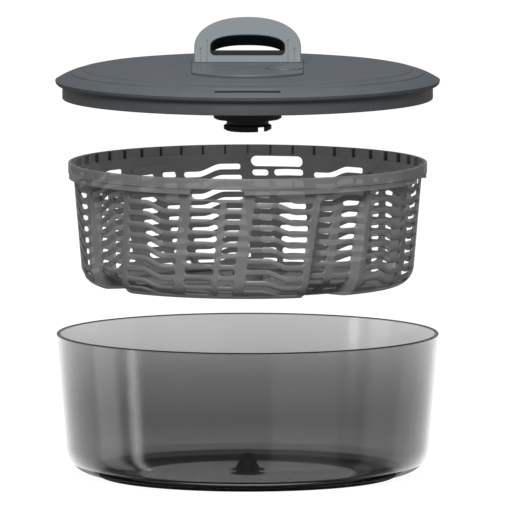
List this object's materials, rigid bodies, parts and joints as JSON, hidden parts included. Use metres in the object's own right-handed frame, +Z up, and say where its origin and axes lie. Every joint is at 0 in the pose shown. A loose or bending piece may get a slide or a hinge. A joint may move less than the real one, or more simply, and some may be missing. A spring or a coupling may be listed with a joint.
{
  "type": "salad spinner",
  "caption": "Pull-cord salad spinner, opened up: clear bowl, slotted strainer basket above it, and a low domed lid with a cord drive, brake button and D handle.",
  "frame": {"origin": "centre of the bowl's underside, on the surface that it stands on", "axes": "+Z up along the axis that everything turns about; -Y is the front, where the brake button is; +X is to the right seen from the front"},
  "size_m": [0.2614, 0.2614, 0.3116],
  "materials": {
    "bowl_clear": "clear smoked gloss",
    "basket_smoke": "translucent smoked satin",
    "lid_grey": "satin gloss",
    "panel_grey": "satin gloss",
    "frame_grey": "satin gloss",
    "handle_grey": "fine satin",
    "plastic_black": "satin",
    "rubber_black": "matt",
    "acetal_white": "natural",
    "steel_bright": "bright",
    "cord_dark": "braided"
  },
  "bodies": {
    "bowl": {"bowl": "bowl_clear", "foot_ring": "rubber_black"},
    "pivot_cup": {"pivot_cup": "acetal_white"},
    "basket": {"basket": "basket_smoke"},
    "lid": {"lid_cover": "lid_grey", "lid_panel": "panel_grey", "lid_frame": "frame_grey", "fairlead": "acetal_white", "cover_screw_1": "steel_bright", "cover_screw_2": "steel_bright", "cover_screw_3": "steel_bright", "cover_screw_4": "steel_bright", "brake_spring": "steel_bright", "mechanism_housing": "plastic_black", "housing_screw_1": "steel_bright", "housing_screw_2": "steel_bright", "housing_screw_3": "steel_bright", "axle_pin": "steel_bright", "retaining_clip": "steel_bright", "thrust_washer": "steel_bright", "spring_cup": "plastic_black", "spiral_spring": "steel_bright", "cord_lead": "cord_dark"},
    "brake": {"brake_button": "panel_grey", "brake_pad": "rubber_black"},
    "spool": {"spool": "acetal_white", "cord_winding": "cord_dark", "pawl_carrier": "acetal_white"},
    "pawl_1": {"pawl_1": "steel_bright"},
    "pawl_2": {"pawl_2": "steel_bright"},
    "drive": {"ratchet_ring": "steel_bright", "drive_hub": "plastic_black", "drive_disc": "plastic_black", "lock_cap": "plastic_black"},
    "handle": {"handle_front_shell": "handle_grey", "handle_back_shell": "handle_grey", "handle_screw_1": "steel_bright", "handle_screw_2": "steel_bright", "cord_anchor": "cord_dark"}
  },
  "joints": [
    {"name": "basket_lift", "type": "slide", "parent": "bowl", "child": "pivot_cup", "axis": [0, 0, 1], "range_m": [-0.1212, 0]},
    {"name": "basket_spin", "type": "hinge", "parent": "pivot_cup", "child": "basket", "pos_m": [0, 0, 0.1308], "axis": [0, 0, 1], "continuous": true},
    {"name": "lid_lift", "type": "slide", "parent": "pivot_cup", "child": "lid", "axis": [0, 0, 1], "range_m": [-0.048, 0]},
    {"name": "drive_spin", "type": "hinge", "parent": "lid", "child": "drive", "pos_m": [0, 0, 0.25], "axis": [0, 0, 1], "continuous": true},
    {"name": "handle_pull", "type": "slide", "parent": "lid", "child": "handle", "axis": [0, 0.4695, 0.8829], "range_m": [0, 0.4373], "deforming": ["cord_lead"]},
    {"name": "spool_spin", "type": "hinge", "parent": "lid", "child": "spool", "pos_m": [0, 0, 0.265], "axis": [0, 0, 1], "range_deg": [0, 2160]},
    {"name": "brake_press", "type": "slide", "parent": "lid", "child": "brake", "axis": [0, 0, -1], "range_m": [0, 0.0018], "stiffness_N_per_m": 400, "springref_m": -0.002, "deforming": ["brake_spring"]},
    {"name": "pawl_1_swing", "type": "hinge", "parent": "spool", "child": "pawl_1", "pos_m": [0.0096, 0, 0.25465], "axis": [0, 0, -1], "range_deg": [0, 22]},
    {"name": "pawl_2_swing", "type": "hinge", "parent": "spool", "child": "pawl_2", "pos_m": [-0.0096, 0, 0.25465], "axis": [0, 0, -1], "range_deg": [0, 22]}
  ],
  "couplings": [
    {"joint": "basket_spin", "follows": "drive_spin", "ratio": 1},
    {"joint": "spool_spin", "follows": "handle_pull", "rad_per_m": 86.207}
  ]
}
